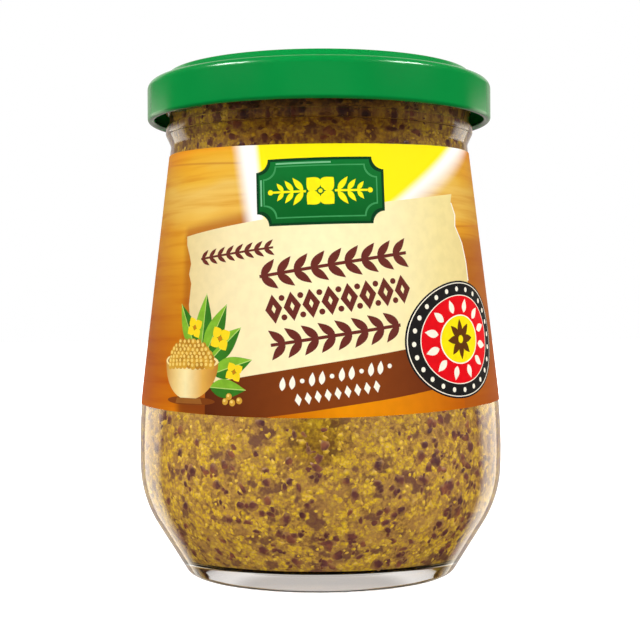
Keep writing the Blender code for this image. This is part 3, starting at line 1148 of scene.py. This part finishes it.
def shaded_ink(name, low, high, axis, stops):
    """A printed colour that changes across the sheet, between two places in millimetres; on some inks the
    change is partly painted shade.
    """
    ink = paper_ink(name)
    share = ink.span(sheet_place(ink)[axis], low, high, ease="LINEAR")
    mottle = ink.span(ink.noise(500.0, 4.0), 0.3, 0.7, 0.96, 1.02)
    ink.set(Base_Color=ink.mix(1.0, ink.ramp(share, stops), mottle, "MULTIPLY"))
    return paper_finish(ink)


def beyond(shader, along, up, start, end):
    """How far a place lies to the right of the line from start up to end, in millimetres."""
    way = (Vector(end) - Vector(start)).normalized()
    across = Vector((way.y, -way.x))
    reach = shader.plus(shader.times(along, across.x), shader.times(up, across.y))
    return shader.plus(reach, -across.dot(Vector(start)))


def wood_print():
    """Warm planks behind the panel, with the yellow field and its white glow at the top."""
    wood = paper_ink("wood_print")
    along, up = sheet_place(wood)
    flat = wood.node("ShaderNodeCombineXYZ", {"X": along, "Y": up}).outputs[0]
    grain_place, cloud_place = [
        wood.node("ShaderNodeMapping", {"Vector": flat, "Scale": scale}).outputs[0]
        for scale in ((0.03, 0.5, 1.0), (0.05, 0.16, 1.0))
    ]
    grain = wood.noise(1.0, 3.0, 0.6, 0.3, grain_place)
    cloud = wood.noise(1.0, 2.0, 0.5, 0.0, cloud_place)
    height = wood.plus(up, wood.span(cloud, 0.3, 0.7, -2.0, 2.0))
    tone = wood.ramp(wood.span(height, 32.0, 84.0, ease="LINEAR"), WOOD_TONES)
    streaks = wood.ramp(grain, [(0.3, (230, 208, 162)), (0.5, (244, 244, 230)), (0.7, (248, 255, 252))])
    tone = wood.mix(1.0, tone, streaks, "MULTIPLY")
    # Painted shade: the wood print turns darker and more orange towards both sides, where the label turns
    # away from the light.
    sides = wood.span(wood.math("ABSOLUTE", along), 22.0, 46.0)
    tone = wood.mix(sides, tone, linear(204, 180, 88), "MULTIPLY")
    for start, end, side in (((-40.0, 80.3), (-15.0, 78.8), -1.0), ((30.0, 67.6), (45.0, 68.6), 1.0)):
        seam = wood.math("ABSOLUTE", beyond(wood, along, up, start, end))
        dark = wood.span(seam, 0.0, 0.35, 0.55, 0.0)
        here = wood.span(wood.times(along, side), 4.0, 16.0)
        tone = wood.mix(wood.times(dark, here), tone, linear(190, 104, 30))
    top_shade = beyond(wood, along, up, (-13.0, 68.45), (-28.2, 65.85))
    near = wood.span(top_shade, 0.0, 2.6, 0.75, 0.0)
    inside = wood.times(wood.span(along, -29.5, -27.5), wood.span(along, -14.0, -11.0, 1.0, 0.0))
    above = wood.math("GREATER_THAN", top_shade, -0.5)
    near = wood.times(wood.times(near, inside), above)
    tone = wood.mix(near, tone, linear(176, 96, 34))
    left_gap = wood.math("SUBTRACT", -27.4, along)
    side_shade = wood.times(wood.span(left_gap, 0.0, 2.4, 0.6, 0.0), wood.span(up, 66.5, 65.0))
    tone = wood.mix(side_shade, tone, linear(160, 78, 22))
    under_bowl = wood.times(wood.span(along, -31.0, -28.5, 0.0, 0.7), wood.span(up, 36.0, 34.4))
    under_bowl = wood.times(under_bowl, wood.math("LESS_THAN", along, 0.0))
    tone = wood.mix(under_bowl, tone, linear(112, 46, 10))
    for color, edges in TOP_FIELDS:
        share = wood.span(up, 64.0, 66.0)
        for start, end, low, high in edges:
            share = wood.times(share, wood.span(beyond(wood, along, up, start, end), low, high))
        tone = wood.mix(share, tone, linear(*color))
    wood.set(Base_Color=tone)
    return paper_finish(wood)


def label_inks():
    """Every ink by name. The paper's own back comes last."""
    inks = {"wood": wood_print()}
    for name, row in SHADED_INKS.items():
        inks[name] = shaded_ink(*row)
    for name, color in PLAIN_INKS.items():
        inks[name] = plain_ink(name, color)
    for name, color in LEAF_INKS.items():
        inks[name] = plain_ink(name, color, LEAF_SPREAD)
    inks["paper_back"] = plain_ink("paper_back", PAPER_BACK)
    return inks


def printed_label_mesh(sheet, order):
    """Cut the sheet along every printed outline, and lay it round the glass."""
    points, loops = [], []
    for outline, _ in sheet.shapes:
        loops.append(list(range(len(points), len(points) + len(outline))))
        points += [Vector(point) for point in outline]
    near = kdtree.KDTree(len(points))
    for index, point in enumerate(points):
        near.insert((*point, 0.0), index)
    near.balance()
    columns = math.ceil(math.radians(LABEL_END) * max(WALL_RADII) / GRID_STEP)
    rows = math.ceil((LABEL_TOP - LABEL_BOTTOM + 4.0) / GRID_STEP)
    for column in range(-columns, columns + 1):
        turn = column / columns * math.radians(LABEL_END)
        low = label_edge(LABEL_BOTTOM, LABEL_DIP_BOTTOM, turn) + GRID_CLEARANCE
        high = label_edge(LABEL_TOP, LABEL_DIP_TOP, turn) - GRID_CLEARANCE
        for row in range(rows):
            height = low + (high - low) * row / (rows - 1)
            spot = (turn * radius_at(height), height)
            if near.find((*spot, 0.0))[2] > GRID_CLEARANCE:
                points.append(Vector(spot))
    corners, _, faces, _, _, sources = delaunay_2d_cdt(points, [], loops, 1, 0.00001, True)
    kept = [(face, source) for face, source in zip(faces, sources) if source]
    mesh = bpy.data.meshes.new("printed_label")
    places = [wrapped(*corner, LABEL_CLEARANCE + PAPER) for corner in corners]
    mesh.from_pydata(places, [], [face for face, _ in kept])
    for polygon, (_, source) in zip(mesh.polygons, kept):
        polygon.material_index = order.index(sheet.shapes[max(source)][1])
    layer = mesh.uv_layers.new(name="sheet")
    spots = np.array([tuple(corner) for corner in corners]) / SHEET_UNIT
    indices = np.array([corner.vertex_index for corner in mesh.loops])
    layer.data.foreach_set("uv", spots[indices].ravel())
    return mesh


def build_label():
    sheet = Sheet()
    draw_panel(sheet)
    draw_rows(sheet)
    draw_plaque(sheet)
    draw_seal(sheet)
    draw_bowl(sheet)
    draw_back(sheet)
    inks = label_inks()
    mesh = printed_label_mesh(sheet, list(inks))
    for ink in inks.values():
        mesh.materials.append(ink)
    label = link(bpy.data.objects.new("printed_label", mesh))
    thicken = label.modifiers.new("Solidify", "SOLIDIFY")
    thicken.thickness = PAPER * MM
    thicken.offset = -1.0
    thicken.material_offset = len(inks)
    thicken.material_offset_rim = len(inks)
    apply_modifiers(label)
    label.visible_shadow = False
    smooth(label, 60.0)
    settle(label, "label")


def build_camera():
    data = bpy.data.cameras.new("camera")
    data.lens = CAMERA_LENS
    camera = link(bpy.data.objects.new("camera", data))
    camera.location = (0.0, -CAMERA_DISTANCE * MM, CAMERA_HEIGHT * MM)
    camera.rotation_euler = (math.radians(90.0), math.radians(CAMERA_ROLL), 0.0)
    bpy.context.scene.camera = camera


def soft_box(name, place, size, strength, mirrored=False):
    """A rectangular light that faces the middle of the jar, and that gloss mirrors only if asked."""
    data = bpy.data.lights.new(name, "AREA")
    data.shape = "RECTANGLE"
    data.size, data.size_y = size
    data.energy = strength * size[0] * size[1] * math.pi
    lamp = link(bpy.data.objects.new(name, data))
    lamp.location = place
    aim = Vector((0.0, 0.0, AIM_HEIGHT)) - Vector(place)
    lamp.rotation_euler = aim.to_track_quat("-Z", "Y").to_euler()
    lamp.visible_camera = False
    lamp.visible_glossy = mirrored
    lamp.visible_transmission = mirrored
    lamp.visible_diffuse = not mirrored


def around(angle, distance, height):
    """A place at an angle from the camera's side of the jar, positive to the right."""
    turn = math.radians(FRONT_ANGLE + angle)
    return (distance * math.cos(turn), distance * math.sin(turn), height)


def build_lights():
    for side, name in ((-1.0, "left"), (1.0, "right")):
        soft_box(f"key_{name}", around(60.0 * side, 0.75, 0.5), (0.6, 0.6), 5.5)
        soft_box(f"rear_{name}", around(140.0 * side, 0.9, 0.35), (0.6, 0.6), 4.5)
        soft_box(f"streak_{name}", around(70.0 * side, 0.78, 0.82), (0.42, 0.2), 62.0, mirrored=True)
    soft_box("fill", (0.0, -1.1, 0.2), (0.8, 0.5), 2.3)


def build_world():
    """A white backdrop. What lights and mirrors in the jar is dim, but for a bright ring behind it."""
    world = bpy.data.worlds.new("studio")
    bpy.context.scene.world = world
    world.use_nodes = True
    sky = Nodes(world.node_tree)
    seen = world.node_tree.nodes["Background"]
    seen.inputs["Color"].default_value = (1.0, 1.0, 1.0, 1.0)
    direction = sky.node("ShaderNodeTexCoord").outputs["Generated"]
    _, depth, height = sky.parts(direction)
    rays = sky.node("ShaderNodeLightPath").outputs
    share = sky.span(depth, -1.0, 1.0, ease="LINEAR")
    behind = sky.span(share, 0.912, 0.936)
    start = sky.plus(share, sky.times(height, 0.15))
    halo = sky.math("SUBTRACT", sky.span(start, 0.700, 0.780), behind)
    halo = sky.times(halo, sky.span(height, 0.04, 0.18, 1.0, 0.03))
    light = sky.mix(halo, DIM_LIGHT, RING_LIGHT)
    light = sky.mix(behind, light, BACKDROP_LIGHT)
    card = sky.times(sky.span(height, 0.20, 0.26), sky.span(share, 0.80, 0.88))
    light = sky.mix(sky.times(card, rays["Is Glossy Ray"]), light, CARD_LIGHT)
    base = sky.times(sky.span(height, 0.06, 0.14), sky.span(share, 0.68, 0.76))
    through = sky.mix(sky.span(share, 0.93, 0.975), BASE_SIDE_LIGHT, BASE_MIDDLE_LIGHT)
    light = sky.mix(sky.times(base, rays["Is Transmission Ray"]), light, through)
    light = sky.mix(sky.span(height, -0.35, -0.55), light, UNDER_LIGHT)
    mirrored = sky.node("ShaderNodeBackground", {"Color": light, "Strength": WORLD_LIGHT}).outputs[0]
    soft = sky.node("ShaderNodeBackground", {"Color": WHITE, "Strength": AMBIENT_LIGHT}).outputs[0]
    unseen = sky.choose(rays["Diffuse Depth"], mirrored, soft)
    choice = sky.choose(rays["Is Camera Ray"], unseen, seen.outputs[0])
    sky.feed(world.node_tree.nodes["World Output"].inputs["Surface"], choice)


def build_floor():
    sheet = bmesh.new()
    bmesh.ops.create_grid(sheet, x_segments=1, y_segments=1, size=FLOOR_SIZE)
    mesh = bpy.data.meshes.new("floor")
    sheet.to_mesh(mesh)
    sheet.free()
    floor = link(bpy.data.objects.new("floor", mesh))
    floor.location = (0.0, 0.0, -FLOOR_DROP)
    pale = Shader("pale_floor", Base_Color=FLOOR_COLOR, Roughness=0.7, Emission_Color=(*WHITE, 1.0))
    # The floor glows white, a painted light that keeps shade off it round the jar; it doesn't glow under
    # the jar's foot.
    reach = pale.vector("LENGTH", {0: pale.place()}, "Value")
    far = pale.span(reach, 0.05, 0.4, 0.0, 0.3)
    pale.set(Emission_Strength=pale.plus(far, pale.span(reach, 0.0240, 0.0275, 0.0, 0.8)))
    # To rays that aren't camera rays and haven't bounced off a dull surface, such as those through the
    # glass, the floor is black: painted shade that darkens the jar's foot.
    rays = pale.node("ShaderNodeLightPath").outputs
    seen = pale.plus(rays["Is Camera Ray"], rays["Diffuse Depth"])
    dark = pale.node("ShaderNodeEmission", {"Strength": 0.0}).outputs[0]
    choice = pale.choose(seen, dark, pale.surface.outputs[0])
    pale.feed(pale.tree.nodes["Material Output"].inputs["Surface"], choice)
    mesh.materials.append(pale.material)
    floor.visible_glossy = False
    floor.visible_diffuse = False


def main():
    build_camera()
    build_world()
    build_lights()
    build_floor()
    build_glass()
    build_lid()
    build_mustard()
    build_grains()
    build_label()
    bpy.context.scene.view_settings.view_transform = "Standard"


main()
